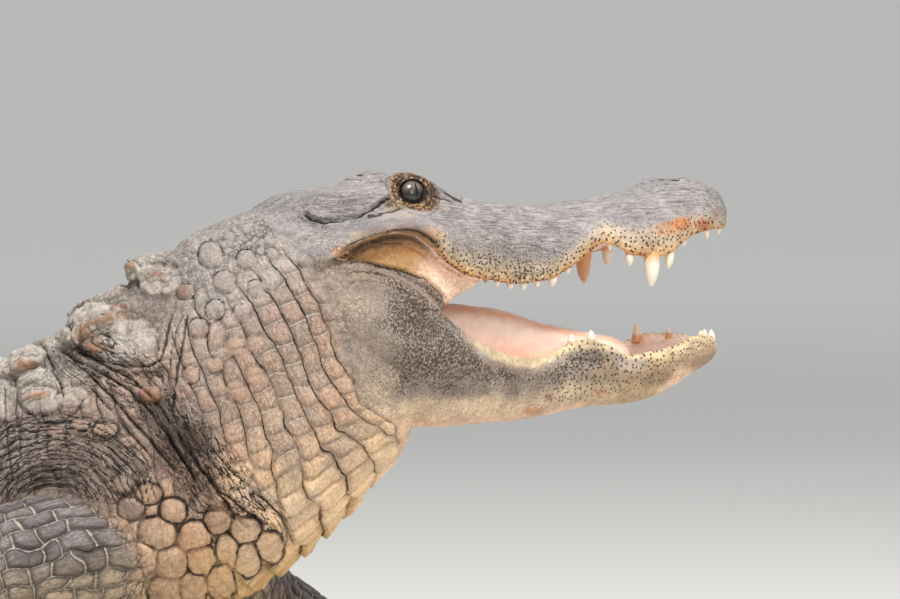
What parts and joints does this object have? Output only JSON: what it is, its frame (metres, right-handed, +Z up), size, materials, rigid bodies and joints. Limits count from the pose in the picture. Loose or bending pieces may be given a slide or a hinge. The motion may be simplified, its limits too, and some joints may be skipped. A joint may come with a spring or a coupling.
{
  "type": "american alligator",
  "caption": "Life-size still american alligator resting on its belly and feet, chest and neck raised, head turned to its left, mouth open.",
  "frame": {"origin": "on the floor, under the middle of the whole animal's box", "axes": "+X the way the trunk and head roughly face, +Y the animal's left, +Z up; the tail runs towards -X"},
  "size_m": [3.1036, 1.0564, 0.53],
  "materials": {
    "head_skin": "cool gray skin with fine lengthwise lines",
    "jaw_skin": "gray skin speckled dark over a cream rim",
    "throat_skin": "peach and pinkish brown scales with dark creases",
    "back_skin": "gray keeled scutes",
    "leg_skin": "blue gray scales with pale seams",
    "mouth_lining": "moist pale pink",
    "teeth": "ivory",
    "claws": "dark horn",
    "eye": "wet dark olive"
  },
  "bodies": {
    "root": {"head": "head_skin", "lower_jaw": "jaw_skin", "tongue": "mouth_lining", "eye_left": "eye", "eye_right": "eye", "neck": "throat_skin", "torso_front": "back_skin", "torso_middle": "back_skin", "torso_rear": "back_skin", "tail_base": "back_skin", "tail_middle": "back_skin", "tail_rear": "back_skin", "tail_tip": "back_skin", "fore_right_upper": "leg_skin", "fore_right_lower": "leg_skin", "fore_right_foot": "leg_skin", "fore_left_upper": "leg_skin", "fore_left_lower": "leg_skin", "fore_left_foot": "leg_skin", "hind_right_upper": "leg_skin", "hind_right_lower": "leg_skin", "hind_right_foot": "leg_skin", "hind_left_upper": "leg_skin", "hind_left_lower": "leg_skin", "hind_left_foot": "leg_skin"}
  },
  "joints": []
}
